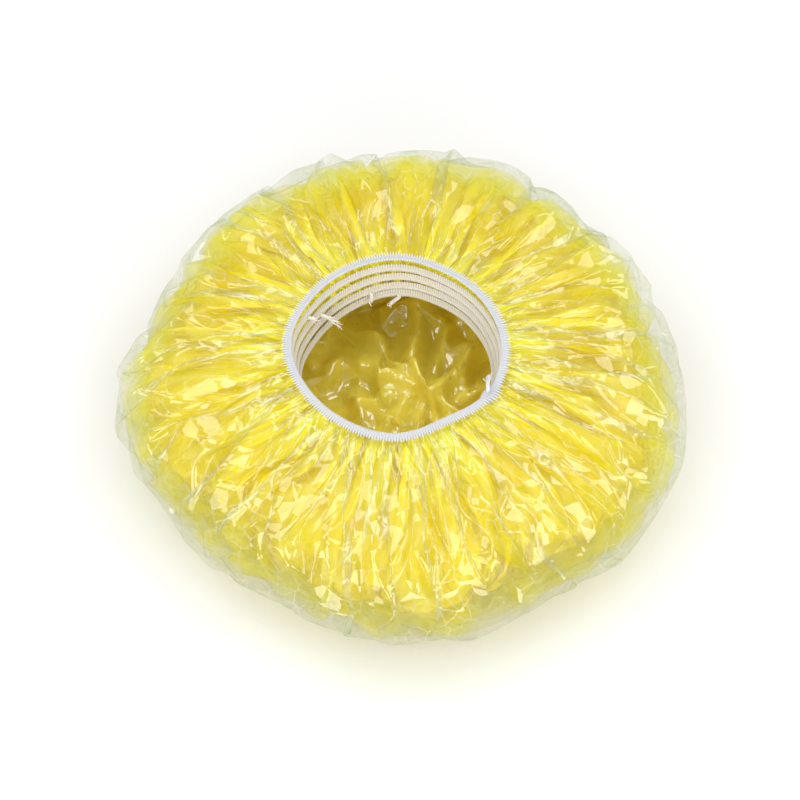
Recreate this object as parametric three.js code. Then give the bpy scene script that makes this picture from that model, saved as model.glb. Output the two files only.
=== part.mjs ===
// A nest of five disposable shower caps, one inside the other, lying on its crown with the mouth up.
// Each cap is a disc of thin film whose edge is gathered onto a ring of flat elastic, which an overlock
// seam covers. The seam ends in a short tail. The outer cap is clear and the four inside it are yellow.
// Sizes are in millimetres, +Z is up, the crown rests at z = 0 and the footprint is centred on the origin.
import * as THREE from "three";

const capCount = 5;

// Film
const puffedRadius = 142; // from the axis to the widest reach of the outer film
const shoulderHeight = 79; // from the surface to the top of the outer film
const filmWall = 0.6; // a sheet of 0.03 mm, thickened so that it is a solid
const nestGap = 0.45; // room between one film and the next one inside it
const slackGap = 3; // how much less the yellow films puff up than the clear one
const pleatDepth = 2.6; // from the mean surface to the crest of a fold
const pleatCount = 25;
const columnsPerPleat = 2;

// Elastic
const mouthRadius = 51; // from the axis to the middle of the outer elastic, relaxed
const mouthRise = 3; // from the shoulder up to the middle of the outer elastic
const elasticWidth = 4.6;
const elasticThickness = 1.3;
const grooveDepth = 0.3; // the elastic is two cords wide, with a groove between them
const elasticGap = 2.7; // bare film between one elastic and the next below it
const elasticStepIn = 1.1; // each elastic is this much nearer the axis than the one above
const firstStepIn = 1.6; // the same from the flat outer elastic to the first standing one
const rimWave = 1.3; // how far all the rims rise and fall together
const rimSlack = 0.3; // how far each rim strays from that by itself

// Overlock seam and its tail
const seamCord = 0.6; // side of the chain of thread that lies in the elastic's groove
const tailLength = 9;
const tailWidth = 2.6;
const tailThickness = 0.8;
const tailLift = 1.4; // how far a tail stands off its elastic before it turns

const seat = 0.3; // clearance between two pieces that touch

const mouthHeight = shoulderHeight + mouthRise;
const columns = pleatCount * columnsPerPleat;
const tailSteps = 8;
const fullTurn = 2 * Math.PI;

// The outer elastic lies nearly flat, and the others stand in the neck below it.
const flatLean = THREE.MathUtils.degToRad(-10);
const standingLean = THREE.MathUtils.degToRad(78);

// Plan of the puffed film and of the mouth, at equal angles from +X towards +Y.
const outlineShares = [
  1.017, 0.999, 1.002, 0.968, 0.996, 1.009, 0.962, 0.996, 0.955, 0.934, 0.922, 0.92,
  0.995, 0.976, 0.915, 0.928, 0.888, 0.925, 0.955, 0.975, 0.949, 0.991, 1.043, 1.041,
];
const mouthShares = [1.04, 0.985, 0.96, 1, 0.99, 0.99, 1.03, 1, 0.995, 1.01, 0.955, 1.045];

// Section of the film from the edge of the flat crown, round the side and up to the shoulder.
const reachShares = [0.72, 0.89, 0.985, 0.985, 0.9, 0.74, 0.6];
const heightShares = [0, 0.1, 0.34, 0.6, 0.84, 0.96, 1];
const pleatShares = [0, 0.25, 0.5, 0.75, 1, 1.15, 1.15];
const slackShares = [0, 1, 1, 1, 1, 1, 1];
const neckShare = 0.42; // where the steep folds end, from the elastic to the shoulder
const neckPleatShare = 0.9;

// Tail of each cap, from the outer one in: its place round the mouth in degrees, and the shares of
// the tail's length that it runs towards the axis, along the elastic and down.
const tailShares = [
  { angle: -31, inward: 0.5, along: 0.8, down: 0.1 },
  { angle: 154, inward: 0.25, along: -0.2, down: 0.3 },
  { angle: 143, inward: 0.6, along: -0.35, down: 0.8 },
  { angle: 106, inward: 0.35, along: 0.1, down: 0.35 },
  { angle: 88, inward: 0.5, along: 0.5, down: 0.4 },
];

// A smooth closed curve through shares that stand at equal angles.
function shareAt(shares, angle) {
  const place = (angle / fullTurn) * shares.length;
  const first = Math.floor(place);
  const t = place - first;
  const at = (step) => shares[(first + step + 2 * shares.length) % shares.length];
  const [a, b, c, d] = [at(-1), at(0), at(1), at(2)];
  return b + 0.5 * t * (c - a + t * (2 * a - 5 * b + 4 * c - d + t * (3 * (b - c) + d - a)));
}

const downwards = new THREE.Vector3(0, 0, -1);
const columnAngle = (column) => (fullTurn * column) / columns;

// A point of the part from a point (reach, height) of the section at that angle.
const inSpace = (point, angle) =>
  new THREE.Vector3(point.x * Math.cos(angle), point.x * Math.sin(angle), point.y);

// Middle of a cap's elastic in the section at that angle, with the way across its width, which
// points at the film, and the way through its thickness, which points into the cap.
function elasticAt(cap, angle) {
  const lean = cap === 0 ? flatLean : standingLean;
  const stepDown = elasticWidth * Math.sin(standingLean) + elasticGap;
  const stepsIn = cap === 0 ? 0 : firstStepIn + (cap - 1) * elasticStepIn;
  const wave = rimWave * Math.sin(2 * angle + 0.6) + rimSlack * Math.sin(3 * angle + 2 * cap);
  return {
    middle: new THREE.Vector2(
      mouthRadius * shareAt(mouthShares, angle) - stepsIn,
      mouthHeight + wave - cap * stepDown,
    ),
    toFilm: new THREE.Vector2(Math.cos(lean), Math.sin(lean)),
    inside: new THREE.Vector2(Math.sin(lean), -Math.cos(lean)),
  };
}

// Points (reach, height) of the outer film's section, and the way into the cap at each.
function outerSection(angle) {
  const reach = puffedRadius * shareAt(outlineShares, angle);
  const points = reachShares.map(
    (share, row) => new THREE.Vector2(reach * share, shoulderHeight * heightShares[row]),
  );
  const inwards = points.map((point, row) => {
    if (row === 0) return new THREE.Vector2(0, 1);
    if (row === points.length - 1) return new THREE.Vector2(0, -1);
    const along = points[row + 1].clone().sub(points[row - 1]).normalize();
    return new THREE.Vector2(-along.y, along.x);
  });
  return { points, inwards };
}

// How deep a cap's outer face lies inside the nest's, where that share of the slack tells.
const capInset = (cap, slackShare) =>
  cap * (filmWall + nestGap) + (cap === 0 ? 0 : slackGap * slackShare);

// One column of a cap's film from the crown's edge to the hem, as deep in the wall as asked:
// 0 is its outer face and filmWall its inner face.
function filmColumn(cap, column, depth) {
  const angle = columnAngle(column);
  const crest = column % columnsPerPleat === 0 ? pleatDepth : -pleatDepth;
  const { points, inwards } = outerSection(angle);
  const inset = (row) => capInset(cap, slackShares[row]) + depth;
  const rows = points.map((point, row) =>
    point.clone().addScaledVector(inwards[row], inset(row) - crest * pleatShares[row]),
  );
  const { middle, toFilm, inside } = elasticAt(cap, angle);
  const hem = middle
    .clone()
    .addScaledVector(toFilm, elasticWidth / 2 + seat)
    .addScaledVector(inside, depth - filmWall / 2);
  const shoulder = points[points.length - 1].clone();
  shoulder.y -= inset(points.length - 1);
  const neck = hem.clone().lerp(shoulder, neckShare);
  neck.y += crest * neckPleatShare;
  return [...rows, neck, hem].map((point) => inSpace(point, angle));
}

// A mesh geometry from a flat list of points and a list of triangles.
function geometryOf(points, triangles) {
  const geometry = new THREE.BufferGeometry().setFromPoints(points);
  geometry.setIndex(triangles);
  geometry.computeVertexNormals();
  return geometry;
}

// The film: an outer and an inner skin, each a fan on the crown and rows of quads up to the hem,
// closed by a narrow strip round the hem.
function filmGeometry(cap) {
  const points = [];
  const triangles = [];
  const skins = [0, filmWall].map((depth) => {
    const pole = points.length;
    points.push(new THREE.Vector3(0, 0, capInset(cap, 0) + depth));
    const start = points.length;
    for (let column = 0; column < columns; column++) points.push(...filmColumn(cap, column, depth));
    const rowCount = (points.length - start) / columns;
    return { pole, rowCount, at: (row, column) => start + (column % columns) * rowCount + row };
  });
  const addFace = (flip, a, b, c) => triangles.push(...(flip ? [a, c, b] : [a, b, c]));
  skins.forEach(({ pole, rowCount, at }, side) => {
    const flip = side === 1;
    for (let column = 0; column < columns; column++) {
      addFace(flip, pole, at(0, column + 1), at(0, column));
      for (let row = 0; row + 1 < rowCount; row++) {
        const [a, b] = [at(row, column), at(row, column + 1)];
        const [c, d] = [at(row + 1, column + 1), at(row + 1, column)];
        addFace(flip, a, b, c);
        addFace(flip, a, c, d);
      }
    }
  });
  const [outer, inner] = skins;
  const last = outer.rowCount - 1;
  for (let column = 0; column < columns; column++) {
    const [a, b] = [outer.at(last, column), outer.at(last, column + 1)];
    const [c, d] = [inner.at(last, column + 1), inner.at(last, column)];
    addFace(false, a, b, c);
    addFace(false, a, c, d);
  }
  return geometryOf(points, triangles);
}

// A closed ring whose section, a list of points in the elastic's own axes, follows a cap's elastic.
function ringGeometry(cap, section) {
  const points = [];
  const triangles = [];
  for (let column = 0; column < columns; column++) {
    const angle = columnAngle(column);
    const { middle, toFilm, inside } = elasticAt(cap, angle);
    for (const [across, through] of section) {
      const point = middle.clone().addScaledVector(toFilm, across).addScaledVector(inside, through);
      points.push(inSpace(point, angle));
    }
  }
  const count = section.length;
  const at = (column, corner) => (column % columns) * count + (corner % count);
  for (let column = 0; column < columns; column++) {
    for (let corner = 0; corner < count; corner++) {
      const [a, b] = [at(column, corner), at(column + 1, corner)];
      const [c, d] = [at(column + 1, corner + 1), at(column, corner + 1)];
      triangles.push(a, c, b, a, d, c);
    }
  }
  return geometryOf(points, triangles);
}

// Two cords side by side: a flat band with a groove along both faces.
function elasticSection() {
  const half = elasticWidth / 2;
  const crown = elasticThickness / 2;
  const cord = half / 2;
  const groove = crown - grooveDepth;
  return [
    [half, 0], [cord, crown], [0, groove], [-cord, crown],
    [-half, 0], [-cord, -crown], [0, -groove], [cord, -crown],
  ];
}

// The chain of thread, a square cord in the groove of the face that shows in the mouth.
function seamSection() {
  const near = -(elasticThickness / 2 - grooveDepth + seat);
  const far = near - seamCord;
  const half = seamCord / 2;
  return [[half, near], [-half, near], [-half, far], [half, far]];
}

// A tail: a flat strip that leaves the elastic's showing face square, then turns and hangs. Its width
// keeps as near as it can to the direction round the mouth.
function tailGeometry(cap) {
  const { angle, inward, along, down } = tailShares[cap];
  const turn = THREE.MathUtils.degToRad(angle);
  const { middle, toFilm, inside } = elasticAt(cap, turn);
  const root = middle
    .clone()
    .addScaledVector(toFilm, -elasticWidth / 4)
    .addScaledVector(inside, -(elasticThickness / 2 + seat));
  const start = inSpace(root, turn);
  const stand = inSpace(root.addScaledVector(inside, -tailLift), turn);
  const towardsAxis = new THREE.Vector3(-Math.cos(turn), -Math.sin(turn), 0);
  const roundTheMouth = new THREE.Vector3(-Math.sin(turn), Math.cos(turn), 0);
  const run = (share, dropShare) =>
    stand
      .clone()
      .addScaledVector(towardsAxis, tailLength * inward * share)
      .addScaledVector(roundTheMouth, tailLength * along * share)
      .addScaledVector(downwards, tailLength * down * dropShare);
  const path = new THREE.CatmullRomCurve3([start, stand, run(0.5, 0.2), run(1, 1)]);
  const points = [];
  for (let step = 0; step <= tailSteps; step++) {
    const centre = path.getPoint(step / tailSteps);
    const onwards = path.getTangent(step / tailSteps);
    const across = roundTheMouth.clone().projectOnPlane(onwards).setLength(tailWidth / 2);
    const through = across.clone().cross(onwards).setLength(tailThickness / 2);
    for (const [a, b] of [[1, 1], [1, -1], [-1, -1], [-1, 1]]) {
      points.push(centre.clone().addScaledVector(across, a).addScaledVector(through, b));
    }
  }
  const triangles = [0, 2, 1, 0, 3, 2];
  for (let step = 0; step < tailSteps; step++) {
    for (let corner = 0; corner < 4; corner++) {
      const [a, b] = [4 * step + corner, 4 * step + ((corner + 1) % 4)];
      triangles.push(a, b, b + 4, a, b + 4, a + 4);
    }
  }
  const end = 4 * tailSteps;
  triangles.push(end, end + 1, end + 2, end, end + 2, end + 3);
  return geometryOf(points, triangles);
}

const clearFilm = { color: 0xe8ece6, roughness: 0.2, metalness: 0 };
const yellowFilm = { color: 0xf2dc3c, roughness: 0.2, metalness: 0 };
const whiteElastic = { color: 0xe9e9e6, roughness: 0.9, metalness: 0 };
const whiteThread = { color: 0xf3f3f1, roughness: 0.8, metalness: 0 };

function addPiece(group, name, geometry, looks) {
  const piece = new THREE.Mesh(geometry, new THREE.MeshStandardMaterial(looks));
  piece.name = name;
  group.add(piece);
}

const nest = new THREE.Group();
for (let cap = 0; cap < capCount; cap++) {
  const name = `cap_${cap + 1}`;
  addPiece(nest, `${name}_film`, filmGeometry(cap), cap === 0 ? clearFilm : yellowFilm);
  addPiece(nest, `${name}_elastic`, ringGeometry(cap, elasticSection()), whiteElastic);
  addPiece(nest, `${name}_overlock`, ringGeometry(cap, seamSection()), whiteThread);
  addPiece(nest, `${name}_tail`, tailGeometry(cap), whiteThread);
}

// The lobes of the outline are uneven, so the footprint's middle is brought to the origin.
const footprint = new THREE.Box3().setFromObject(nest).getCenter(new THREE.Vector3());
nest.position.set(-footprint.x, -footprint.y, 0);

export default nest;
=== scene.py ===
# %% [markdown]
# # A nest of disposable shower caps
# Five thin film caps lie one inside the other on their crowns, with their mouths up. The outer cap is
# clear and the four inside it are yellow. A cap is a flat disc of film whose edge is gathered onto a
# ring of elastic, and an overlock seam wraps the film's edge and the elastic together. The packed
# solids hold the size and the place of each piece, and the pieces made here replace them.

# %% Load the solids
import math

import bmesh
import bpy
import numpy as np
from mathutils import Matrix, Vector, noise
from mathutils.bvhtree import BVHTree
from mathutils.geometry import delaunay_2d_cdt


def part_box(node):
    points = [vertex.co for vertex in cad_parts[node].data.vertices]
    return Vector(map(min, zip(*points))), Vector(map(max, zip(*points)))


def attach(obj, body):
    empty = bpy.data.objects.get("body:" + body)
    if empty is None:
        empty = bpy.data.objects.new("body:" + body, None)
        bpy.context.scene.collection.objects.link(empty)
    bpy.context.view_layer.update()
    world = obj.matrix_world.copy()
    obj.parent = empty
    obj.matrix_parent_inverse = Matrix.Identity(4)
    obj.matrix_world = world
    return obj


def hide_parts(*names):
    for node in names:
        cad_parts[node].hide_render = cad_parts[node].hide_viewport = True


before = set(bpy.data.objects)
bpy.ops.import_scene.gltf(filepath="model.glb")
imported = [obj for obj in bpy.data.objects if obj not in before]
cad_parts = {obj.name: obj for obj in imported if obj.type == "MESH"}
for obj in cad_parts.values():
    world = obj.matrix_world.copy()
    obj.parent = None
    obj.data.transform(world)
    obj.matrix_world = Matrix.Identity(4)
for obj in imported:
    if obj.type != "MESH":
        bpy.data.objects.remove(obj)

mm = 0.001
full_turn = 2 * math.pi
cap_count = 5
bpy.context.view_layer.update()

# %% [markdown]
# ## Camera
# The photograph looks down at about 60 degrees through a long lens, so the round mouth shows as an
# oval and the near side of the nest hides nothing. A long lens keeps the far side nearly as large as
# the near side.

# %% Camera
aim = Vector((0, 0, 26 * mm))
distance = 1.2
height_angle = math.radians(60)


def new_object(name, data):
    made = bpy.data.objects.new(name, data)
    bpy.context.collection.objects.link(made)
    return made


lens = bpy.data.cameras.new("camera")
lens.lens = 106.6
lens.sensor_width = 36
camera = new_object("camera", lens)
camera.location = aim + distance * Vector((0, -math.cos(height_angle), math.sin(height_angle)))
camera.rotation_euler = (aim - camera.location).to_track_quat("-Z", "Y").to_euler()
bpy.context.scene.camera = camera
print("camera at", [round(part, 3) for part in camera.location])

# %% [markdown]
# ## Mean surface of a cap
# Before it crumples, a puffed cap is a smooth bag: flat where the crown rests, round at the side, and
# nearly level from the shoulder to the elastic. Its section is drawn once, as shares of the reach and
# of the shoulder's height, and stretched by an uneven outline. The crumpled film is then found as
# offsets from this surface, which keeps each cap in its own layer of the nest.

# %% Sizes of the nest
puffed_radius = 142 * mm
shoulder_height = 79 * mm
mouth_rise = 3 * mm
mouth_radius = 51 * mm
elastic_width = 4.6 * mm
elastic_thickness = 1.3 * mm
elastic_gap = 2.7 * mm
elastic_step_in = 1.1 * mm
first_step_in = 1.6 * mm
rim_wave = 1.3 * mm
rim_slack = 0.3 * mm
rim_turn = 0.6
disc_radius = 266.5 * mm
flat_lean = math.radians(-10)
standing_lean = math.radians(78)

outline_shares = [
    1.017, 0.999, 1.002, 0.968, 0.996, 1.009, 0.962, 0.996, 0.955, 0.934, 0.922, 0.92,
    0.995, 0.976, 0.915, 0.928, 0.888, 0.925, 0.955, 0.975, 0.949, 0.991, 1.043, 1.041,
]
mouth_shares = [1.04, 0.985, 0.96, 1, 0.99, 0.99, 1.03, 1, 0.995, 1.01, 0.955, 1.045]
reach_shares = [0.72, 0.89, 0.985, 0.985, 0.9, 0.74, 0.6]
height_shares = [0, 0.1, 0.34, 0.6, 0.84, 0.96, 1]
neck_share = 0.42
slack_gaps = [0, 4.5 * mm, 7.5 * mm, 10.5 * mm, 13.5 * mm]
slack_shares = [0, 0.5, 1, 1, 0.6, 0.3, 0.2]
slack_round_shares = [1.25, 1, 0.65, 0.5, 0.7, 1.2, 1, 1]
nest_gap = 1.05 * mm
floor_gap = 0.2 * mm
print(f"discs {2 * disc_radius / mm:.0f} mm across, mouth {2 * mouth_radius / mm:.0f} mm")


# %% Smooth curves through a few points
def spline(a, b, c, d, t):
    return b + 0.5 * t * (c - a + t * (2 * a - 5 * b + 4 * c - d + t * (3 * (b - c) + d - a)))


def share_at(shares, angle):
    shares = np.asarray(shares, float)
    place = np.asarray(angle) / full_turn * len(shares)
    first = np.floor(place).astype(int)
    a, b, c, d = (shares[(first + step) % len(shares)] for step in (-1, 0, 1, 2))
    return spline(a, b, c, d, place - first)


def unit(vectors):
    return vectors / (np.linalg.norm(vectors, axis=-1, keepdims=True) + 1e-12)


# %% [markdown]
# ## Where each elastic lies
# The outer cap's elastic lies nearly flat round the mouth. The others stand below it in a stack, each a
# little further in, because every cap hangs inside the one before. They could be five equal rings, but
# caps that were pushed together by hand never lie so evenly, and at the upper right they are pressed
# together. So the gap above each is a share of the usual one, given every 30 degrees round the mouth.

# %% Path of each elastic, in its section and round the mouth
elastic_gap_shares = [  # above tapes 2 to 5, from the right side round
    [0.8, 0.9, 0.9, 1, 1.2, 1.3, 1.2, 1, 1, 1, 1, 0.9],
    [0.5, 0.4, 0.5, 0.7, 1.1, 1.3, 1.2, 1, 1, 1, 0.9, 0.7],
    [0.4, 0.25, 0.3, 0.6, 1, 1.1, 1, 1, 1, 1, 0.9, 0.6],
    [0.4, 0.25, 0.2, 0.3, 0.7, 0.9, 0.9, 1, 1, 1, 0.8, 0.6],
]


def elastic_section(cap, angle):
    """Middle of the elastic (reach, height), the way to the film and the way into the cap."""
    lean = flat_lean if cap == 0 else standing_lean
    gaps = sum(share_at(shares, angle) for shares in elastic_gap_shares[:cap])
    drop = cap * elastic_width * math.sin(standing_lean) + elastic_gap * gaps
    steps_in = 0 if cap == 0 else first_step_in + (cap - 1) * elastic_step_in
    wave = rim_wave * np.sin(2 * angle + rim_turn) + rim_slack * np.sin(3 * angle + 2 * cap)
    reach = mouth_radius * share_at(mouth_shares, angle) - steps_in
    middle = np.stack([reach, shoulder_height + mouth_rise + wave - drop], -1)
    to_film = np.array([math.cos(lean), math.sin(lean)])
    inside = np.array([math.sin(lean), -math.cos(lean)])
    return middle, to_film, inside


def in_space(section, angle):
    reach, height = section[..., 0], section[..., 1]
    return np.stack([reach * np.cos(angle), reach * np.sin(angle), height], -1) + axis_place


# The solids were moved so that their footprint is centred, so the axis is found from an elastic.
axis_place = np.zeros(3)
low, high = (np.array(corner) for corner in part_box("cap_1_elastic"))
drawn = in_space(elastic_section(0, np.linspace(0, full_turn, 721))[0], np.linspace(0, full_turn, 721))
axis_place = (low + high) / 2 - (drawn.min(0) + drawn.max(0)) / 2
axis_place[2] = 0
print("axis of the nest at", axis_place.round(4))

# %% Mean surface as a grid from the crown's middle to the hem
grid_rows, grid_columns = 120, 360
section_cuts = 16


def mean_surface(cap):
    """The yellow caps puff up less and less inwards, by a slack that changes round the nest."""
    angle = np.arange(grid_columns) / grid_columns * full_turn
    slack = slack_gaps[cap] * share_at(slack_round_shares, angle)
    crown_inset = floor_gap + cap * nest_gap
    reach = puffed_radius * share_at(outline_shares, angle)
    points = np.stack([
        np.stack([reach * across, np.full(grid_columns, shoulder_height * up)], -1)
        for across, up in zip(reach_shares, height_shares)
    ])
    inwards = np.zeros_like(points)
    along = unit(points[2:] - points[:-2])
    inwards[1:-1] = np.stack([-along[..., 1], along[..., 0]], -1)
    inwards[0] = (0, 1)
    inwards[-1] = (0, -1)
    insets = np.stack([crown_inset + slack * share * np.ones(grid_columns) for share in slack_shares])
    points = points + inwards * insets[..., None]
    middle, to_film, _ = elastic_section(cap, angle)
    hem = middle + to_film * elastic_width / 2
    neck = hem + (points[-1] - hem) * neck_share
    centre = np.zeros_like(hem)
    centre[:, 1] = crown_inset
    stops = np.stack([2 * centre - points[0], centre, *points, neck, hem, 2 * hem - neck])
    fine = [
        spline(*stops[first:first + 4], t)
        for first in range(len(stops) - 3) for t in np.arange(section_cuts) / section_cuts
    ] + [hem]
    fine = np.stack(fine)
    fine[..., 1] = np.maximum(fine[..., 1], crown_inset)
    run = np.concatenate([
        np.zeros((1, grid_columns)),
        np.cumsum(np.linalg.norm(np.diff(fine, axis=0), axis=-1), 0),
    ])
    share = np.linspace(0, 1, grid_rows + 1)
    section = np.empty((grid_rows + 1, grid_columns, 2))
    for column in range(grid_columns):
        for part in range(2):
            section[:, column, part] = np.interp(
                share * run[-1, column], run[:, column], fine[:, column, part],
            )
    surface = in_space(section, angle)
    down_rows = np.gradient(surface, axis=0)
    round_rows = np.roll(surface, -1, 1) - np.roll(surface, 1, 1)
    outwards = unit(np.cross(round_rows, down_rows))
    outwards[0] = (0, 0, -1)
    return {
        "points": surface, "outwards": outwards, "reach": section[..., 0], "length": run[-1].mean(),
    }


# %% Reading the mean surface
def look_up(table, share, angle):
    """Reads a grid at shares of the way to the hem and at angles, evening out between its points."""
    row = np.clip(share, 0, 1) * grid_rows
    top = np.minimum(row.astype(int), grid_rows - 1)
    down = row - top
    column = np.mod(angle / full_turn, 1) * grid_columns
    left = column.astype(int) % grid_columns
    across = column - column.astype(int)
    right = (left + 1) % grid_columns
    if table.ndim == 3:
        down, across = down[:, None], across[:, None]
    upper = table[top, left] * (1 - across) + table[top, right] * across
    lower = table[top + 1, left] * (1 - across) + table[top + 1, right] * across
    return upper * (1 - down) + lower * down


# %% [markdown]
# ## Cutting the disc into facets
# Crumpled film isn't smooth: it stays flat between creases, and each flat facet mirrors one piece of
# the studio. So the disc is cut into uneven triangles, narrow and long where the pleats run to the
# hem, and larger towards the crown. The triangles are the facets, and their edges the creases.

# %% Facets of the flat disc
share_stops = [0, 0.35, 0.55, 0.7, 0.85, 0.95, 1]
clear_spacing = {"around": [14, 14, 14, 12, 8, 6, 6], "along": [14, 14, 18, 22, 22, 13, 8]}
yellow_spacing = {"around": [14, 13, 12, 9, 8, 7, 6], "along": [14, 14, 16, 22, 20, 12, 8]}
row_step_share = 0.87
turn_jitter, row_jitter, hem_jitter = 0.34, 0.36, 0.2  # shares of the spacing
hem_room_share = 0.4
last_row_share = 0.985
centre_share = 0.02
centre_ratio = 50
fewest_in_row = 6


def cut_facets(seed, spacing):
    """Points of the disc (share of the way to the hem, angle) and the triangles between them."""
    rng = np.random.default_rng(seed)
    steps = 2000
    share_steps = np.linspace(0, 1, steps + 1)
    around = np.interp(share_steps, share_stops, spacing["around"]) * mm
    along = np.interp(share_steps, share_stops, spacing["along"]) * mm
    shares, angles = [np.zeros(1)], [np.zeros(1)]
    row = along[0] / disc_radius
    while row < 1 - hem_room_share * along[-1] / disc_radius:
        step = int(row * steps)
        count = max(fewest_in_row, round(full_turn * row * disc_radius / around[step]))
        turned = np.arange(count) + rng.uniform(-turn_jitter, turn_jitter, count)
        angles.append(turned / count * full_turn + rng.uniform(0, full_turn))
        moved = row + rng.uniform(-row_jitter, row_jitter, count) * along[step] / disc_radius
        shares.append(np.minimum(moved, last_row_share))
        row += row_step_share * along[step] / disc_radius
    count = 2 * round(full_turn * disc_radius / around[-1] / 2)
    turned = np.arange(count) + rng.uniform(-hem_jitter, hem_jitter, count)
    angles.append(turned / count * full_turn)
    shares.append(np.ones(count))
    share, angle = np.concatenate(shares), np.concatenate(angles)
    # Triangles come out as long as the spacing asks where the plane is stretched by the same measure.
    far = share_steps > centre_share
    ratio = np.where(far, around / along / np.maximum(share_steps, centre_share), centre_ratio)
    log_radius = np.concatenate([[0], np.cumsum((ratio[1:] + ratio[:-1]) / 2 * np.diff(share_steps))])
    radius = np.exp(log_radius - log_radius[-1])
    radius[~far] *= share_steps[~far] / centre_share
    plane_radius = np.interp(share, share_steps, radius)
    plane = [Vector(p) for p in zip(plane_radius * np.cos(angle), plane_radius * np.sin(angle))]
    faces = delaunay_2d_cdt(plane, [], [], 0, 1e-9)[2]
    faces = np.array([face for face in faces if len(face) == 3])
    return share, angle, faces


# %% [markdown]
# ## Gathering the film
# The disc has far more edge than the elastic, so gathering leaves it with length to spare, and it
# buckles. The solver knows only that: each edge of a facet pulls or pushes its ends towards its own
# length, each pair of facets resists folding a little, and the cap's own layer holds the whole.
# Cloth simulation could gather it too, but it is slow on a disc with so much spare edge, and slower
# still where five films have to stay apart. Only the tiny gathers along the hem are drawn: the radial
# pleats and sharp creases come from the spare length alone.

# %% Numbers for the gathering
spare_stops = [0, 0.3, 0.5, 0.7, 0.85, 1]
most_spare_clear = [1.15, 1.15, 1.21, 1.5, 2.0, 2.6]
most_spare_yellow = [1.15, 1.15, 1.22, 1.65, 2.3, 3.4]
depth_stops = [0, 0.08, 0.3, 0.42, 0.55, 0.68, 0.85, 0.95, 1]
hem_pleat = 0.85 * mm
gather_rounds = 900
edge_stretch = 1.03
longest_section_share = 1.1
centre_hold_share = 0.08
edge_pull = 1.4
fold_pull = 0.12
settle_out, settle_along = 0.998, 0.999
roof_rounds, first_roof_round = 30, 15
play_stops = [0, 0.3, 0.45, 0.8, 0.95, 1]
play_depths = [0.5, 1.5, 5, 6, 2, 0]
swell_share, rough_share = 0.16, 0.2
swells = ((5, 0.8), (9, 1.0), (16, 1.0), (27, 0.8), (43, 0.7))  # waves round the cap, and their size


# %% Edges of the facets, and the room under the film outside
def edges_of(faces):
    """Each edge once, and for each edge between two facets the pair of corners across it."""
    sides = np.concatenate([faces[:, [0, 1]], faces[:, [1, 2]], faces[:, [2, 0]]])
    tips = np.concatenate([faces[:, 2], faces[:, 0], faces[:, 1]])
    keys = np.sort(sides, 1)
    order = np.lexsort((keys[:, 1], keys[:, 0]))
    keys, tips = keys[order], tips[order]
    same = (keys[1:] == keys[:-1]).all(1)
    return np.unique(keys, axis=0), np.stack([tips[:-1][same], tips[1:][same]], 1)


def room_below(roof, base, outwards, clearance=0.4 * mm, reach=20 * mm):
    """How far out each point may go before it meets the film that lies outside it."""
    room = np.full(len(base), 1.0)
    for index, (place, way) in enumerate(zip(base, outwards)):
        hit = roof.ray_cast(Vector(place - way * reach), Vector(way), 2 * reach)
        if hit[0] is not None:
            room[index] = hit[3] - reach - clearance
    return room


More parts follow.
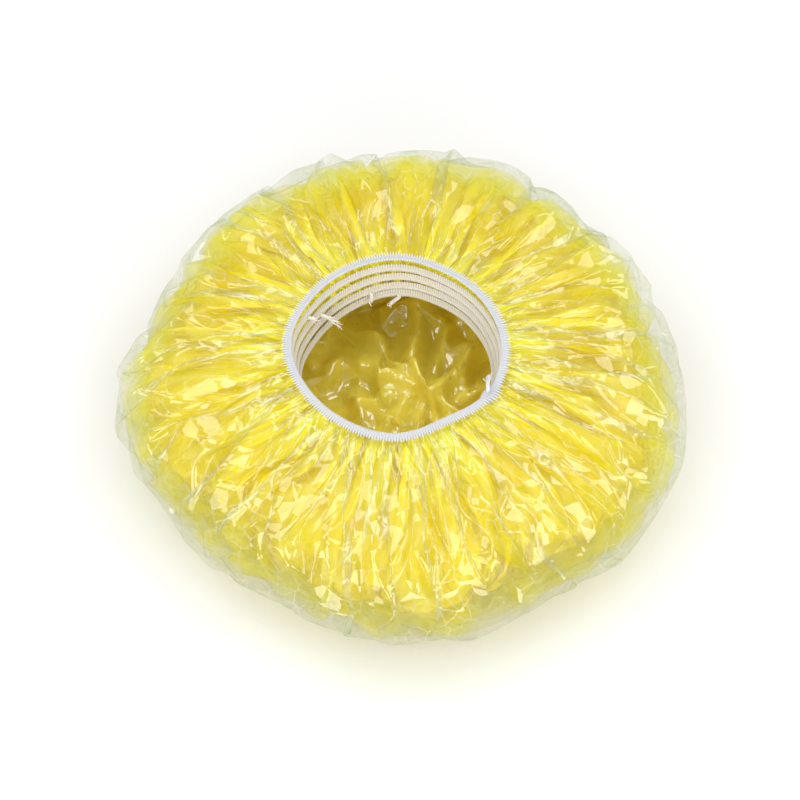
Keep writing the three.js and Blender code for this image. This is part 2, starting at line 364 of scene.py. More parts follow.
# %% Gathering
def gather(surface, share, angle, faces, seed, most_spare, inner_depth, outer_depth, roof=None):
    """Buckles the film inside its own layer and under the roof, which is the film outside it."""
    rng = np.random.default_rng(seed)
    base = look_up(surface["points"], share, angle)
    outwards = unit(look_up(surface["outwards"], share, angle))
    reach = np.maximum(look_up(surface["reach"], share, angle), 1e-5)
    true_spare = share * disc_radius / reach
    spare = np.clip(true_spare, 1, np.interp(share, spare_stops, most_spare))
    edges, across = edges_of(faces)

    def rest_length(pairs, stretch):
        i, j = pairs[:, 0], pairs[:, 1]
        turn = np.mod(angle[i] - angle[j] + math.pi, full_turn) - math.pi
        width = 0.5 * (reach[i] * spare[i] + reach[j] * spare[j]) * np.abs(turn)
        section_length = min(disc_radius, surface["length"] * longest_section_share)
        length = np.abs(share[i] - share[j]) * section_length
        flat = np.hypot(width, length)
        middle = (share[i] + share[j]) / 2 < centre_hold_share
        flat[middle] = np.linalg.norm(base[i] - base[j], axis=1)[middle]
        return flat * stretch

    rest, rest_across = rest_length(edges, edge_stretch), rest_length(across, 1.0)
    lowest = -np.interp(share, depth_stops, inner_depth) * mm
    play = np.interp(share, play_stops, play_depths) * mm
    outmost = np.interp(share, depth_stops, outer_depth) * mm
    highest = outmost
    # Broad uneven swells come first, and the pleats grow on them.
    swell = np.zeros(len(share))
    for waves, size in swells:
        start, lean = rng.uniform(0, full_turn, 2)
        swell += size * np.sin(waves * angle + start + 4 * np.sin(3 * share + lean))
    half = (outmost - lowest) / 2
    uneven = swell_share * swell + rng.normal(0, rough_share, len(share))
    points = base + outwards * ((outmost + lowest) / 2 + half * uneven)[:, None]
    hem = share == 1
    pleat = hem_pleat * np.where(np.arange(hem.sum()) % 2, 1, -1)[:, None]
    count = len(share)
    weight = np.bincount(edges.ravel(), minlength=count)[:, None]
    weight_across = np.bincount(across.ravel(), minlength=count)[:, None] + 1e-9

    def pull(points, pairs, lengths):
        i, j = pairs[:, 0], pairs[:, 1]
        run = points[j] - points[i]
        size = np.linalg.norm(run, axis=1)
        move = run * (0.5 * (size - lengths) / (size + 1e-9))[:, None]
        return np.stack([
            np.bincount(i, move[:, part], count) - np.bincount(j, move[:, part], count)
            for part in range(3)
        ], 1)

    for turn in range(gather_rounds):
        points = points + edge_pull * pull(points, edges, rest) / weight
        if turn % 2 == 0:
            points = points + fold_pull * pull(points, across, rest_across) / weight_across
        offset = ((points - base) * outwards).sum(1)
        slide = points - base - offset[:, None] * outwards
        if roof is not None and turn % roof_rounds == first_roof_round:
            highest = np.minimum(outmost, room_below(roof, base + slide, outwards))
        offset = np.clip(settle_out * offset, np.minimum(lowest, highest - play), highest)
        points = base + settle_along * slide + offset[:, None] * outwards
        points[hem] = base[hem] + outwards[hem] * pleat
        points[:, 2] = np.maximum(points[:, 2], base[:, 2].min())
    stretch = np.linalg.norm(points[edges[:, 0]] - points[edges[:, 1]], axis=1) / rest
    return {"points": points, "base": base, "outwards": outwards, "stretch": stretch}


# %% [markdown]
# ## Folds of the innermost crown
# Through the mouth the innermost crown shows, pinched into ridges that meet near its middle like a star.
# The solver can't find them, because there the film has no length to spare: hands pinched them. So they
# are drawn, each as a ridge with its own direction, height, width and length, and a sine bends it a
# little. Each ridge falls away to both sides, and the highest ridge wins where two of them meet.

# %% Star of folds
star_centre = np.array([18 * mm, 10 * mm])
fold_bend = 4 * mm
fold_bend_run = 13 * mm
star_folds = [  # direction, height, width and length
    (96, 20 * mm, 5 * mm, 85 * mm), (133, 11 * mm, 5 * mm, 80 * mm), (160, 13 * mm, 7 * mm, 85 * mm),
    (187, 10 * mm, 5 * mm, 85 * mm), (214, 12 * mm, 6 * mm, 80 * mm), (243, 8 * mm, 4 * mm, 60 * mm),
    (272, 7 * mm, 4 * mm, 50 * mm), (303, 9 * mm, 5 * mm, 55 * mm), (338, 12 * mm, 5 * mm, 60 * mm),
    (10, 10 * mm, 5 * mm, 65 * mm), (38, 14 * mm, 7 * mm, 70 * mm), (68, 9 * mm, 4 * mm, 75 * mm),
]


def star_rise(place):
    """Height of the crown's folds over a point of the floor, and how near the point is to a crest."""
    away = np.array(place)[:2] - axis_place[:2] - star_centre
    rise, crest = 0, 0
    for turn, height, width, length in star_folds:
        turn = math.radians(turn)
        along = away @ (math.cos(turn), math.sin(turn))
        bend = fold_bend * math.sin(along / fold_bend_run + 2 * turn)
        across = away @ (-math.sin(turn), math.cos(turn)) + bend
        taper = math.exp(along / width) if along < 0 else max(0, 1 - (along / length) ** 2)
        here = taper * math.exp(-abs(across) / width)
        rise, crest = max(rise, height * here), max(crest, here ** 2)
    return rise, crest


print("folds of the innermost crown:", len(star_folds))

# %% [markdown]
# ## How much film the light meets
# Film looks stronger in colour where pleats lie over one another, and at the outline, where it is seen
# along its surface. Modelling every layer of the finest pleats would take millions of faces. So each
# point of a film carries three numbers that its material reads: `layers` says how many layers lie
# there, `slope` how that changes as the film turns away from the eye, and `onward` which share of the
# scattered light goes on through. Each list runs from the crown to the hem. Noise that is stretched
# along the radius turns the layers into long soft streaks, as the finest pleats do.

# %% Layers, slopes and streaks
clear_layers = [1, 1, 1.1, 1.2, 0.8, 0.6, 0.7]
clear_slopes = [-0.6] * 7
yellow_layers = [1, 0.9, 0.6, 0.8, 3, 7, 7]
yellow_slopes = [-0.5, -0.2, 1, 0.8, -0.3, -0.5, -0.5]
inmost_layers = [1.8, 2.2, 2.6, 2, 3, 7, 7]
crest_layers = 6
clear_onward = [0.5] * 7
yellow_onward = [0.4, 0.4, 0.4, 0.4, 0.4, 0.36, 0.1]
inmost_onward = [0.12, 0.12, 0.15, 0.2, 0.25, 0.2, 0.1]
streak_turn = 0.09
streak_run = 60 * mm
streak_start = 55 * mm
streak_octaves, streak_falloff, streak_gain = 3, 0.6, 1.5
least_streak, most_streak = -0.65, 0.75


def streak_at(flat_place):
    """Long soft streaks towards the hem: how many times its mean number of layers the film has there."""
    radius = flat_place.length
    way = flat_place.normalized() / streak_turn
    place = Vector((way.x, way.y, radius / streak_run))
    value = sum(
        noise.noise(place * 2 ** octave) * streak_falloff ** octave for octave in range(streak_octaves)
    )
    fade = min(1, max(0, (radius - streak_start) / streak_start))
    return 1 + fade * min(most_streak, max(least_streak, streak_gain * value))


# %% [markdown]
# ## From facets to film
# The solver's triangles are the flat facets. Each is divided again, more finely in the two films that
# are seen best, and the points are smoothed a little, so that a crease turns over a small radius, as
# film does, and its edge catches a thin line of light while the middle of the facet stays flat. The
# flat disc is kept as the film's own map, so that a pattern in the material follows the film.

# %% From a bmesh to an object
def object_from(mesh, name):
    for face in mesh.faces:
        face.smooth = True
    data = bpy.data.meshes.new(name)
    mesh.to_mesh(data)
    mesh.free()
    return new_object(name, data)


# %% Film mesh
smoothing_passes = 2
probe = 20 * mm
film_clearance = 0.35 * mm


def film_object(name, made, share, angle, faces, layers, slopes, onwards, cuts, roof=None, rise=None):
    """The film's object, its faces as the next film's roof, its area and the length of its hem."""
    mesh = bmesh.new()
    layer = mesh.verts.layers.float.new("layers")
    slope = mesh.verts.layers.float.new("slope")
    onward = mesh.verts.layers.float.new("onward")
    base = mesh.verts.layers.float_vector.new("base")
    outwards = mesh.verts.layers.float_vector.new("outwards")
    flat = mesh.loops.layers.uv.new("flat_film")
    corners = []
    for index, point in enumerate(made["points"]):
        corner = mesh.verts.new(point)
        corner[layer] = np.interp(share[index], share_stops, layers)
        corner[slope] = np.interp(share[index], share_stops, slopes)
        corner[onward] = np.interp(share[index], share_stops, onwards)
        corner[base] = made["base"][index]
        corner[outwards] = made["outwards"][index]
        corners.append(corner)
    mesh.verts.ensure_lookup_table()
    cut = disc_radius * np.stack([share * np.cos(angle), share * np.sin(angle)], 1)
    for face in faces:
        facet = mesh.faces.new([corners[corner] for corner in face])
        for loop, corner in zip(facet.loops, face):
            loop[flat].uv = cut[corner]
    bmesh.ops.recalc_face_normals(mesh, faces=mesh.faces)
    bmesh.ops.subdivide_edges(mesh, edges=mesh.edges, cuts=cuts, use_grid_fill=True)
    for vert in mesh.verts:
        vert[layer] *= streak_at(vert.link_loops[0][flat].uv)
    inner = [vert for vert in mesh.verts if not vert.is_boundary]
    for _ in range(smoothing_passes):
        bmesh.ops.smooth_vert(
            mesh, verts=inner, factor=0.5, use_axis_x=True, use_axis_y=True, use_axis_z=True,
        )
    if rise is not None:
        for vert in inner:
            height, crest = rise(vert[base])
            vert.co -= vert[outwards].normalized() * height
            vert[layer] += crest_layers * crest
    if roof is not None:
        for vert in inner:
            way = vert[outwards].normalized()
            offset = (vert.co - vert[base]).dot(way)
            hit = roof.ray_cast(vert.co - way * (offset + probe), way, 2 * probe)
            if hit[0] is not None:
                room = hit[3] - probe - film_clearance
                if offset > room:
                    vert.co += way * (room - offset)
    under = BVHTree.FromBMesh(mesh)
    area = sum(face.calc_area() for face in mesh.faces)
    rim = sum(edge.calc_length() for edge in mesh.edges if edge.is_boundary)
    return object_from(mesh, name), under, area, rim


# %% [markdown]
# ## Five films
# The films are made from the outside in, and each stays inside the one before: rays from the mean
# surface find the film outside it, and no point goes past that. The depths say how far a film may
# stray inwards and outwards from its mean surface, in millimetres, from the crown to the hem.

# %% Five films, from the outside in
facet_seed, gather_seed = 11, 31
inner_depths = [
    [0.1, 0.3, 0.6, 2.5, 4, 5, 5, 2, 0.85],
    [0.4, 1.5, 3, 6, 9, 11, 10, 4, 0.85],
    [0.5, 2, 4, 7, 10, 13, 11, 4, 0.85],
    [1, 4, 6, 9, 12, 15, 12, 4, 0.85],
    [8, 12, 12, 12, 14, 17, 13, 4, 0.85],
]
outer_depths = [[0, 0, 0, 0.8, 2, 3, 2, 0.6, 0.85]] + [[0, 0, 0, 1, 5, 4, 1.5, 0.5, 0.85]] * 4
clear_look = {"layers": clear_layers, "slopes": clear_slopes, "onwards": clear_onward, "cuts": 5}
yellow_look = {"layers": yellow_layers, "slopes": yellow_slopes, "onwards": yellow_onward, "cuts": 3}
inmost_look = {
    "layers": inmost_layers, "slopes": yellow_slopes, "onwards": inmost_onward, "cuts": 5,
    "rise": star_rise,
}
film_looks = [clear_look, yellow_look, yellow_look, yellow_look, inmost_look]
films = []
roof = None
for cap in range(cap_count):
    surface = mean_surface(cap)
    spacing, most_spare = (
        (clear_spacing, most_spare_clear) if cap == 0 else (yellow_spacing, most_spare_yellow)
    )
    share, angle, faces = cut_facets(facet_seed + cap, spacing)
    made = gather(
        surface, share, angle, faces, gather_seed + cap, most_spare,
        inner_depths[cap], outer_depths[cap], roof,
    )
    film, roof, area, rim = film_object(
        f"film_{cap + 1}", made, share, angle, faces, roof=roof, **film_looks[cap],
    )
    films.append(film)

# %% [markdown]
# ## Finishes
# A material is a tree of nodes. One helper adds a node, sets it and links it, which keeps each tree
# readable from top to bottom, and colours are written as they look on a screen.

# %% Helpers for materials
def linear(hex_colour):
    parts = [int(hex_colour[i:i + 2], 16) / 255 for i in (1, 3, 5)]
    return (*(p / 12.92 if p <= 0.04045 else ((p + 0.055) / 1.055) ** 2.4 for p in parts), 1)


def add_node(tree, kind, settings=(), **links):
    new = tree.nodes.new(kind)
    for key, value in dict(settings).items():
        if isinstance(key, int) or key in new.inputs:
            new.inputs[key].default_value = value
        else:
            setattr(new, key, value)
    for socket, source in links.items():
        numbered = socket[0] == "i" and socket[1:].isdigit()
        tree.links.new(source, new.inputs[int(socket[1:]) if numbered else socket.replace("_", " ")])
    return new


def new_material(name):
    made = bpy.data.materials.new(name)
    made.use_nodes = True
    made.node_tree.nodes.clear()
    return made, made.node_tree


# %% [markdown]
# ## Small facets and creases
# Between the large creases the film is crumpled again, into flat patches a few millimetres wide that
# each mirror one lamp or none. Drawing them in the mesh would take too many faces. So a Voronoi pattern
# on the flat film stands for them: each cell is tilted at random, and some of the borders between cells
# are drawn as pale lines. These lines are partly the whitening of film that was creased hard and partly
# painted highlights for the thin line of light that a crease's ridge catches. The real ones are finer
# than this, but they would be too fine to show in the picture.

# %% Small facets
def small_facets(tree, size, tilt):
    """Normal of small flat facets: each cell of the flat film is tilted at random about its middle."""
    flat = add_node(tree, "ShaderNodeUVMap", {"uv_map": "flat_film"})
    cells = add_node(tree, "ShaderNodeTexVoronoi", {
        "voronoi_dimensions": "2D", "Scale": 1 / size, "Randomness": 1.0,
    }, Vector=flat.outputs[0])
    off_middle = add_node(
        tree, "ShaderNodeVectorMath", {"operation": "SUBTRACT"},
        i0=flat.outputs[0], i1=cells.outputs["Position"],
    )
    way = add_node(
        tree, "ShaderNodeVectorMath", {"operation": "SUBTRACT", 1: (0.5, 0.5, 0.5)},
        i0=cells.outputs["Color"],
    )
    rise = add_node(
        tree, "ShaderNodeVectorMath", {"operation": "DOT_PRODUCT"},
        i0=off_middle.outputs[0], i1=way.outputs[0],
    )
    return add_node(
        tree, "ShaderNodeBump", {"Strength": 1.0, "Distance": 2 * tilt}, Height=rise.outputs["Value"],
    ).outputs[0]


# %% Pale creases: whitening and painted highlights
crease_width = 0.6 * mm
crease_patch = 30 * mm
crease_fade = (0.4, 0.62)


def crease_whitening_and_painted_highlight(tree, size, share):
    """The share on the borders between cells of the flat film, fading in and out over patches of it."""
    flat = add_node(tree, "ShaderNodeUVMap", {"uv_map": "flat_film"})
    cells = add_node(tree, "ShaderNodeTexVoronoi", {
        "voronoi_dimensions": "2D", "feature": "DISTANCE_TO_EDGE", "Scale": 1 / size, "Randomness": 1.0,
    }, Vector=flat.outputs[0])
    line = add_node(
        tree, "ShaderNodeMapRange", {2: crease_width / size / 2, 3: share, 4: 0.0},
        i0=cells.outputs["Distance"],
    )
    patches = add_node(tree, "ShaderNodeTexNoise", {
        "noise_dimensions": "2D", "Scale": 1 / crease_patch, "Detail": 1.0,
    }, Vector=flat.outputs[0])
    fade = add_node(
        tree, "ShaderNodeMapRange", {1: crease_fade[0], 2: crease_fade[1]}, i0=patches.outputs["Fac"],
    )
    return add_node(
        tree, "ShaderNodeMath", {"operation": "MULTIPLY"}, i0=line.outputs[0], i1=fade.outputs[0],
    ).outputs[0]


# %% [markdown]
# ## Blown polyethylene film
# Such film is blown as a bubble, so it is thin, slightly hazy and glossy, with no grain. A glass
# material would bend the light of a solid block, and the film is far too thin for that. So it is a
# transparent surface that tints what is seen through it, mixed with a little scattered light for the
# haze and with a mirror for the gloss, which grows at the outline as on any smooth plastic. Tint and
# haze both grow with the thickness that the eye looks through. A tint isn't a colour on a screen: it
# is the share of red, green and blue light that one layer lets through. Three films are made so: the
# clear one, the yellow one under it, and the innermost yellow one, which is seen bare in the mouth.
# The innermost one is the same yellow film, given a deeper amber tint, which is painted shade for the
# dim depth of the mouth.

# %% Blown polyethylene film
facing_limit = 1.1
outline_power = 5.0


def blown_film(
    name, tint, haze_colour, haze, gloss, mirror_share, edge_mirror,
    facet_size=None, facet_tilt=0.0, crease_whitening_and_highlight_share=0.0,
):
    """Thin film: what it lets through and scatters goes by the film's thickness along the view."""
    made, tree = new_material(name)
    turned = {} if facet_size is None else {"Normal": small_facets(tree, facet_size, facet_tilt)}
    facing = add_node(tree, "ShaderNodeLayerWeight", {"Blend": 0.5}, **turned)
    straight = add_node(
        tree, "ShaderNodeMath", {"operation": "SUBTRACT", 0: facing_limit}, i1=facing.outputs["Facing"],
    )
    slope = add_node(tree, "ShaderNodeAttribute", {"attribute_name": "slope"})
    layers = add_node(tree, "ShaderNodeAttribute", {"attribute_name": "layers"})
    steepness = add_node(
        tree, "ShaderNodeMath", {"operation": "POWER"}, i0=straight.outputs[0], i1=slope.outputs["Fac"],
    )
    thickness = add_node(
        tree, "ShaderNodeMath", {"operation": "MULTIPLY"},
        i0=layers.outputs["Fac"], i1=steepness.outputs[0],
    )
    seen = add_node(tree, "ShaderNodeGamma", {"Color": tint}, Gamma=thickness.outputs[0])
    clear_share = add_node(
        tree, "ShaderNodeMath", {"operation": "POWER", 0: 1 - haze}, i1=thickness.outputs[0],
    )

    through = add_node(tree, "ShaderNodeBsdfTransparent", {}, Color=seen.outputs[0])
    near = add_node(tree, "ShaderNodeBsdfDiffuse", {"Color": haze_colour}, **turned)
    far = add_node(tree, "ShaderNodeBsdfTranslucent", {"Color": haze_colour}, **turned)
    onward = add_node(tree, "ShaderNodeAttribute", {"attribute_name": "onward"})
    cloud = add_node(
        tree, "ShaderNodeMixShader", {}, i0=onward.outputs["Fac"], i1=near.outputs[0], i2=far.outputs[0],
    )
    body = add_node(
        tree, "ShaderNodeMixShader", {},
        i0=clear_share.outputs[0], i1=cloud.outputs[0], i2=through.outputs[0],
    )
    if facet_size is not None:
        # Pale crease lines: partly whitened film, partly painted highlights along crease ridges.
        whitening_and_painted_highlight = add_node(tree, "ShaderNodeBsdfDiffuse", {"Color": haze_colour})
        body = add_node(
            tree, "ShaderNodeMixShader", {},
            i0=crease_whitening_and_painted_highlight(tree, facet_size, crease_whitening_and_highlight_share), i1=body.outputs[0], i2=whitening_and_painted_highlight.outputs[0],
        )
    shine = add_node(tree, "ShaderNodeBsdfGlossy", {"Roughness": gloss}, **turned)
    steep = add_node(
        tree, "ShaderNodeMath", {"operation": "POWER", 1: outline_power}, i0=facing.outputs["Facing"],
    )
    mirror = add_node(
        tree, "ShaderNodeMath", {"operation": "MULTIPLY_ADD", 1: edge_mirror, 2: mirror_share},
        i0=steep.outputs[0],
    )
    surface = add_node(
        tree, "ShaderNodeMixShader", {}, i0=mirror.outputs[0], i1=body.outputs[0], i2=shine.outputs[0],
    )
    add_node(tree, "ShaderNodeOutputMaterial", {}, Surface=surface.outputs[0])
    return made


# %% Three films, and the caps that are made of them
clear_film = blown_film(
    "clear_blown_polyethylene", (0.968, 0.976, 0.95, 1), linear("#f3f5e4"), haze=0.025,
    gloss=0.04, mirror_share=0.07, edge_mirror=0.15, facet_size=8 * mm, facet_tilt=0.25,
    crease_whitening_and_highlight_share=0.32,
)
yellow_film = blown_film(
    "yellow_blown_polyethylene", (0.998, 0.981, 0.5, 1), linear("#fff82a"), haze=0.16,
    gloss=0.2, mirror_share=0.03, edge_mirror=0.15,
)
# Its deeper amber tint is painted shade for the dim depth of the mouth. The film is the same yellow.
inmost_film_painted_shade = blown_film(
    "yellow_blown_polyethylene_seen_bare_painted_shade", (0.999, 0.962, 0.56, 1), linear("#ffed62"), haze=0.42,
    gloss=0.04, mirror_share=0.13, edge_mirror=0.15, facet_size=6 * mm, facet_tilt=0.3,
    crease_whitening_and_highlight_share=0.25,
)

for cap, film in enumerate(films):
    film.data.materials.append({0: clear_film, cap_count - 1: inmost_film_painted_shade}.get(cap, yellow_film))
    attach(film, "root")
    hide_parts(f"cap_{cap + 1}_film")
print("films:", [film.data.materials[0].name for film in films])

# %% [markdown]
# ## Covered elastic
# Each cap's elastic is a flat tape 4 to 5 mm wide: rubber cores under a white yarn cover. The seam's
# needle line pulls it in along its middle, which leaves two soft ridges. The tape's section is spun
# round the axis, so that its faces run true along it, and then bent to the uneven ring that the
# relaxed mouth takes. Where its two ends overlap it is thicker, and the seam's threads hang out there.

# %% Places where the elastics' ends overlap, and how far their tails run
tail_length = 9 * mm
tail_lift = 1.4 * mm
tail_seat = 0.3 * mm
tail_places = [
    {"angle": -31, "inward": 0.55, "along": 0.85, "down": -0.1},
    {"angle": 154, "inward": 0.3, "along": -0.25, "down": 0.35},
    {"angle": 143, "inward": 1.0, "along": -0.35, "down": 0.9},
    {"angle": 106, "inward": 0.4, "along": 0.1, "down": 0.45},
    {"angle": 88, "inward": 0.55, "along": 0.7, "down": 0.45},
]
lap_swell = [1.6, 0.3, 0.4, 0.3, 0.3]
lap_reach = 4 * mm
lap_widening_share = 0.4


def tape_swell(cap, angle):
    """How much thicker the tape is than alone, which peaks where its ends overlap."""
    away = np.mod(angle - math.radians(tail_places[cap]["angle"]) + math.pi, full_turn) - math.pi
    run = away * mouth_radius / lap_reach
    return 1 + lap_swell[cap] * np.exp(-run ** 4)


def on_tape(cap, angle, across, through):
    """Point beside a cap's tape: across its width towards the film, and through towards the mouth."""
    middle, to_film, inside = elastic_section(cap, angle)
    swell = tape_swell(cap, angle)
    across = across * (1 - lap_widening_share + lap_widening_share * swell)
    section = middle + np.multiply.outer(across, to_film)
    section = section - np.multiply.outer(through * swell, inside)
    return in_space(section, angle)


# %% The five tapes
tape_steps = 480
section_corners = 24
tape_half_widths = [1.85 * mm] + [2.35 * mm] * 4
tape_half_thickness = 0.55 * mm
side_squareness, face_squareness = 0.7, 0.8
groove_share, groove_width_share = 0.6, 0.25
wobble_share, wobble_waves = 0.05, (37, 11)
weld_gap = 0.001 * mm


def tape_object(cap):
    mesh = bmesh.new()
    ring = bmesh.ops.create_circle(mesh, segments=section_corners, radius=1)["verts"]
    for vert in ring:
        side, up = vert.co.x, vert.co.y
        across = math.copysign(abs(side) ** side_squareness, side)
        groove = groove_share * math.exp(-(across / groove_width_share) ** 2)
        through = math.copysign(abs(up) ** face_squareness, up) * (1 - groove)
        vert.co = (mouth_radius + tape_half_widths[cap] * across, 0, tape_half_thickness * through)
    bmesh.ops.spin(
        mesh, geom=ring + mesh.edges[:], cent=(0, 0, 0), axis=(0, 0, 1), angle=full_turn,
        steps=tape_steps, use_merge=True,
    )
    bmesh.ops.remove_doubles(mesh, verts=mesh.verts, dist=weld_gap)
    spun = np.array([vert.co for vert in mesh.verts])
    angle = np.mod(np.arctan2(spun[:, 1], spun[:, 0]), full_turn)
    across = np.hypot(spun[:, 0], spun[:, 1]) - mouth_radius
    quick, slow = (waves * angle for waves in wobble_waves)
    wobble = 1 + wobble_share * np.sin(quick + cap) * np.sin(slow + 2 * cap)
    bent = [on_tape(cap, *parts) for parts in zip(angle, across * wobble, spun[:, 2])]
    for vert, place in zip(mesh.verts, bent):
        vert.co = place
    bmesh.ops.recalc_face_normals(mesh, faces=mesh.faces)
    return object_from(mesh, f"tape_{cap + 1}")


tapes = [tape_object(cap) for cap in range(cap_count)]
print("tapes:", [len(tape.data.polygons) for tape in tapes], "faces")

# %% [markdown]
# ## Overlock seam
# The overlock machine lays a looped thread over the tape and the film's edge at every stitch: out over
# the tape to a short bight on the film, back, and round the tape's free edge to the other face. So the
# tape looks ribbed across, and the bights stand on the film as a row of small teeth. A pattern in a
# material would stay flat, so the thread is real: a path of points beside the tape, swept into a round
# thread. The machine lays three threads, and one is drawn, because the others hide among its loops.

# %% Threads swept along paths
def thread_object(name, paths, radius, closed=False):
    curve = bpy.data.curves.new(name, "CURVE")
    curve.dimensions = "3D"
    curve.bevel_depth = radius
    curve.bevel_resolution = 1
    curve.use_fill_caps = True
    for path in paths:
        line = curve.splines.new("POLY")
        line.points.add(len(path) - 1)
        line.points.foreach_set("co", np.c_[path, np.ones(len(path))].ravel())
        line.use_cyclic_u = closed
    laid = bpy.data.objects.new(name, curve)
    data = bpy.data.meshes.new_from_object(laid)
    bpy.data.objects.remove(laid)
    bpy.data.curves.remove(curve)
    data.name = name
    for face in data.polygons:
        face.use_smooth = True
    return new_object(name, data)


def smooth_path(stops, cuts):
    """Points on a smooth curve through the stops, with some cuts from each to the next."""
    stops = np.asarray(stops, float)
    padded = np.concatenate([[2 * stops[0] - stops[1]], stops, [2 * stops[-1] - stops[-2]]])
    t = np.arange(cuts)[:, None] / cuts
    parts = [spline(*padded[first:first + 4, None], t) for first in range(len(stops) - 1)]
    return np.concatenate([*parts, stops[-1:]])


# %% The five seams
stitch_pitch = 1.3 * mm
thread_radius = 0.15 * mm
bight = 1.15 * mm
stitch_path = [  # across and through, in half widths and half thicknesses, and the way along a pitch
    (-1.08, 0.0, 0.00), (-0.55, 1.15, 0.07), (0.0, 0.55, 0.15), (0.55, 1.15, 0.23),
    (1.05, 1.3, 0.36), (0.55, 1.15, 0.50), (0.0, 0.55, 0.58), (-0.55, 1.15, 0.66),
    (-1.08, 0.0, 0.74), (-0.6, -1.2, 0.80), (0.6, -1.2, 0.87), (-0.6, -1.2, 0.94),
]
bight_stop = 4
bight_shares = (0.6, 1.25)
bight_lean = 0.06
seam_cuts = 3
seam_seed = 71


def seam_object(cap):
    rng = np.random.default_rng(seam_seed + cap)
    girth = full_turn * (mouth_radius - (0 if cap == 0 else first_step_in + (cap - 1) * elastic_step_in))
    stitches = round(girth / stitch_pitch)
    stops = []
    for stitch in range(stitches):
        reach = bight * rng.uniform(*bight_shares)
        lean = rng.normal(0, bight_lean)
        for index, (across, through, along) in enumerate(stitch_path):
            angle = (stitch + along + (lean if index == bight_stop else 0)) / stitches * full_turn
            across = across * tape_half_widths[cap] + (reach if index == bight_stop else 0)
            stops.append(on_tape(cap, angle, across, through * tape_half_thickness))
    path = smooth_path(stops + stops[:1], seam_cuts)[:-1]
    return thread_object(f"seam_{cap + 1}", [path], thread_radius, True)


seams = [seam_object(cap) for cap in range(cap_count)]
print("seams:", [len(seam.data.polygons) for seam in seams], "faces")

# %% [markdown]
# ## Tails
# Off the tape's end the machine goes on for a few stitches and leaves a short chain of twisted threads,
# cut by hand, so its end frays. A single bent rod would look like wire. So each tail is a bundle of
# strands that wind round one path, fan out at its end and are cut to different lengths.

# %% The five tails
strand_counts = [12, 6, 9, 6, 6]
strand_radius = 0.2 * mm
strand_turns = 2.2
bundle_radius = 0.75 * mm
bundle_taper_share = 0.4
curl_size, curl_rate = 0.35 * mm, 9
fan_spread = (2.2 * mm, 1.5 * mm)
fan_start_shares = (0.45, 0.7)
fan_run_share, fan_power = 0.5, 1.4
cut_shares = (0.75, 1)
halfway_share, halfway_drop_share = 0.5, 0.2
tail_cuts = 14
tail_seed = 91


def tail_object(cap):
    rng = np.random.default_rng(tail_seed + cap)
    place = tail_places[cap]
    angle = math.radians(place["angle"])
    root = on_tape(cap, angle, -elastic_width / 4, 0)
    leave = unit(on_tape(cap, angle, -elastic_width / 4, tape_half_thickness) - root)
    start = root + leave * (elastic_thickness / 2 + tail_seat)
    stand = start + leave * tail_lift
    to_axis = np.array([-math.cos(angle), -math.sin(angle), 0])
    around = np.array([-math.sin(angle), math.cos(angle), 0])
    sideways = to_axis * place["inward"] + around * place["along"]
    drop = np.array([0, 0, -place["down"]])
    halfway = stand + tail_length * (halfway_share * sideways + halfway_drop_share * drop)
    end = stand + tail_length * (sideways + drop)
    path = smooth_path([start, stand, halfway, end], tail_cuts)
    way = unit(np.gradient(path, axis=0))
    side = unit(np.cross(way, [0.2, 0.3, 1.0]))
    above = np.cross(side, way)
    run = np.linspace(0, 1, len(path))
    strands = []
    for strand in range(strand_counts[cap]):
        turn = full_turn * (strand / strand_counts[cap] + strand_turns * run)
        fan = np.clip((run - rng.uniform(*fan_start_shares)) / fan_run_share, 0, 1) ** fan_power
        spread = [rng.normal(0, size) for size in fan_spread]
        curl = curl_size * np.sin(curl_rate * run + rng.uniform(0, full_turn))
        wide = bundle_radius * (1 - bundle_taper_share * fan)
        strands.append(
            path
            + side * (wide * np.cos(turn) + fan * (spread[0] + curl))[:, None]
            + above * (wide * np.sin(turn) + fan * spread[1])[:, None]
        )
        strands[-1] = strands[-1][:round(len(path) * rng.uniform(*cut_shares))]
    return thread_object(f"tail_{cap + 1}", strands, strand_radius)


tails = [tail_object(cap) for cap in range(cap_count)]
print("tails:", [len(tail.data.polygons) for tail in tails], "faces")

# %% [markdown]
# ## Knitted yarn and spun thread
# The tape's cover is knitted from white polyester yarn, and the seam is sewn with a finer, smoother
# thread of the same stuff. Both scatter light with no clear shine and are a little uneven, so they are
# matt, with a fine noise as large as their fibres' bundles for the grain. Both are one white, but each
# is drawn in two copies. The outer cap's tape and thread get a darker grey, which is painted shade that
# holds back the strong light on top. The inner caps' deep in the mouth get a lighter, warmer colour,
# which is painted warm light for the light that comes through the yellow films.

# %% Knitted yarn and spun thread
darkest_grain, lightest_grain = 0.86, 1.04


def white_yarn(name, colour, grain_size, grain_depth, rough):
    made, tree = new_material(name)
    place = add_node(tree, "ShaderNodeTexCoord")
    grain = add_node(
        tree, "ShaderNodeTexNoise", {"Scale": 1 / grain_size, "Detail": 3.0},
        Vector=place.outputs["Object"],
    )
    raised = add_node(
        tree, "ShaderNodeBump", {"Strength": 0.7, "Distance": grain_depth}, Height=grain.outputs["Fac"],
    )
    shade = add_node(
        tree, "ShaderNodeMapRange", {3: darkest_grain, 4: lightest_grain}, i0=grain.outputs["Fac"],
    )
    tone = add_node(
        tree, "ShaderNodeVectorMath", {"operation": "SCALE", 0: linear(colour)[:3]},
        Scale=shade.outputs[0],
    )
    yarn = add_node(tree, "ShaderNodeBsdfPrincipled", {
        "Roughness": rough, "IOR": 1.5, "Sheen Weight": 0.2, "Subsurface Weight": 0.0,
    }, Normal=raised.outputs[0], Base_Color=tone.outputs[0])
    add_node(tree, "ShaderNodeOutputMaterial", {}, Surface=yarn.outputs[0])
    return made
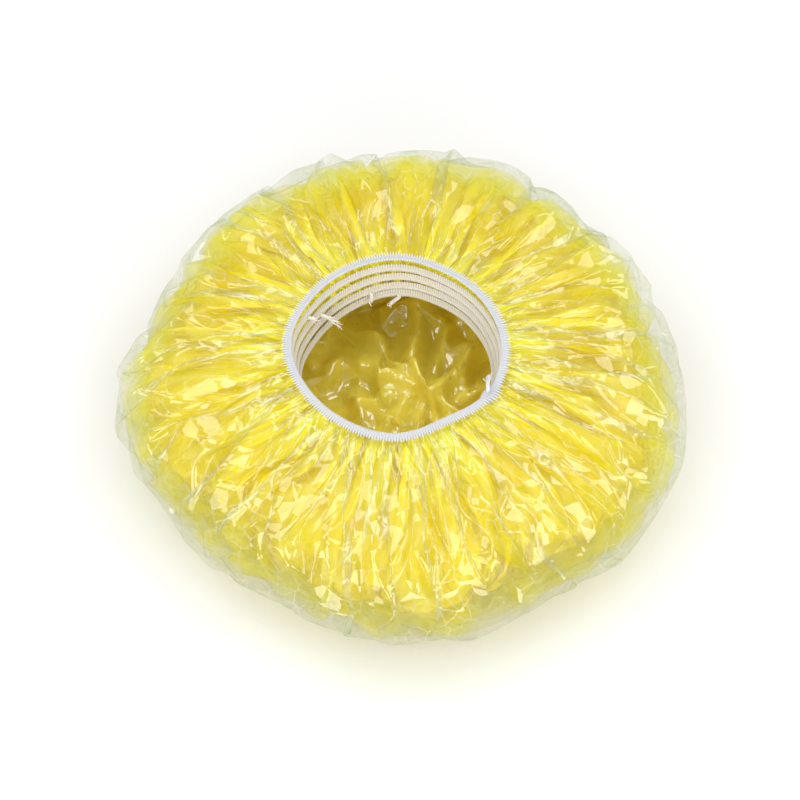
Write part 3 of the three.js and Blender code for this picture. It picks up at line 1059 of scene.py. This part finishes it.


# %% Yarns and threads on their pieces
# The outer yarn and thread are darker copies of the white, which is painted shade under the strong top
# light. The inner ones are lighter and warmer, which is painted warm light.
outer_yarn_painted_shade = white_yarn("knitted_polyester_yarn", "#adafb3", 0.35 * mm, 0.12 * mm, 0.8)
inner_yarn_painted_warm_light = white_yarn("knitted_polyester_yarn_painted_warm_light", "#d6d0c3", 0.35 * mm, 0.12 * mm, 0.8)
inner_thread_painted_warm_light = white_yarn("spun_polyester_thread_painted_warm_light", "#efebe2", 0.18 * mm, 0.05 * mm, 0.65)
outer_thread_painted_shade = white_yarn("spun_polyester_thread", "#d4d5d8", 0.18 * mm, 0.05 * mm, 0.65)
print("yarns:", [yarn.name for yarn in (outer_yarn_painted_shade, inner_yarn_painted_warm_light, outer_thread_painted_shade, inner_thread_painted_warm_light)])

for cap in range(cap_count):
    tapes[cap].data.materials.append(outer_yarn_painted_shade if cap == 0 else inner_yarn_painted_warm_light)
    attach(tapes[cap], "root")
    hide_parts(f"cap_{cap + 1}_elastic")
    for piece, part in ((seams[cap], "overlock"), (tails[cap], "tail")):
        piece.data.materials.append(outer_thread_painted_shade if cap == 0 else inner_thread_painted_warm_light)
        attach(piece, "root")
        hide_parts(f"cap_{cap + 1}_{part}")

# %% [markdown]
# ## Studio
# The photograph's ground is plain white. Film shows mostly by what it mirrors, so the light comes from
# separate soft boxes in a ring, whose reflections draw the facets. One large even light would leave the
# film flat. The floor is a pale paper that the lamps bring just to white, so that the clear film still
# shows against it as a soft grey rim.

# %% Floor and surround
floor_half_size = 4.0
floor_grey = 0.7
surround_glow = 0.6

floor_mesh = bmesh.new()
bmesh.ops.create_grid(floor_mesh, x_segments=1, y_segments=1, size=floor_half_size)
floor_data = bpy.data.meshes.new("floor")
floor_mesh.to_mesh(floor_data)
floor_mesh.free()
floor = new_object("floor", floor_data)
paper, paper_tree = new_material("white_paper")
matt = add_node(paper_tree, "ShaderNodeBsdfDiffuse", {"Color": (floor_grey, floor_grey, floor_grey, 1)})
add_node(paper_tree, "ShaderNodeOutputMaterial", {}, Surface=matt.outputs[0])
floor_data.materials.append(paper)

world = bpy.data.worlds.new("surround")
bpy.context.scene.world = world
world.use_nodes = True
world.node_tree.nodes["Background"].inputs["Color"].default_value = (1, 1, 1, 1)
world.node_tree.nodes["Background"].inputs["Strength"].default_value = surround_glow

# %% Soft boxes
lamp_distance = 1.4
lamp_aim = Vector((0, 0, 40 * mm))
box_glow = 3.9
soft_boxes = [  # direction and height in degrees, width, and share of the glow
    (100, 78, 0.56, 1), (150, 50, 0.66, 0.8), (212, 52, 0.6, 0.9), (246, 24, 0.6, 1.2),
    (294, 26, 0.6, 1.3), (330, 52, 0.6, 0.9), (35, 52, 0.66, 0.8),
]


def soft_box(name, place, width, power):
    lamp = bpy.data.lights.new(name, "AREA")
    lamp.shape = "RECTANGLE"
    lamp.size, lamp.size_y, lamp.energy = width, width, power
    box = new_object(name, lamp)
    box.location = place
    box.rotation_euler = (lamp_aim - place).to_track_quat("-Z", "Y").to_euler()


for number, (turn, rise, width, share) in enumerate(soft_boxes):
    turn, rise = math.radians(turn), math.radians(rise)
    way = Vector((math.cos(turn) * math.cos(rise), math.sin(turn) * math.cos(rise), math.sin(rise)))
    power = box_glow * share * math.pi * width ** 2
    soft_box(f"soft_box_{number + 1}", lamp_distance * way, width, power)
print("soft boxes:", len(soft_boxes))

# %% Light as the eye sees it
bpy.context.scene.view_settings.view_transform = "Standard"
bpy.context.scene.cycles.transparent_max_bounces = 64
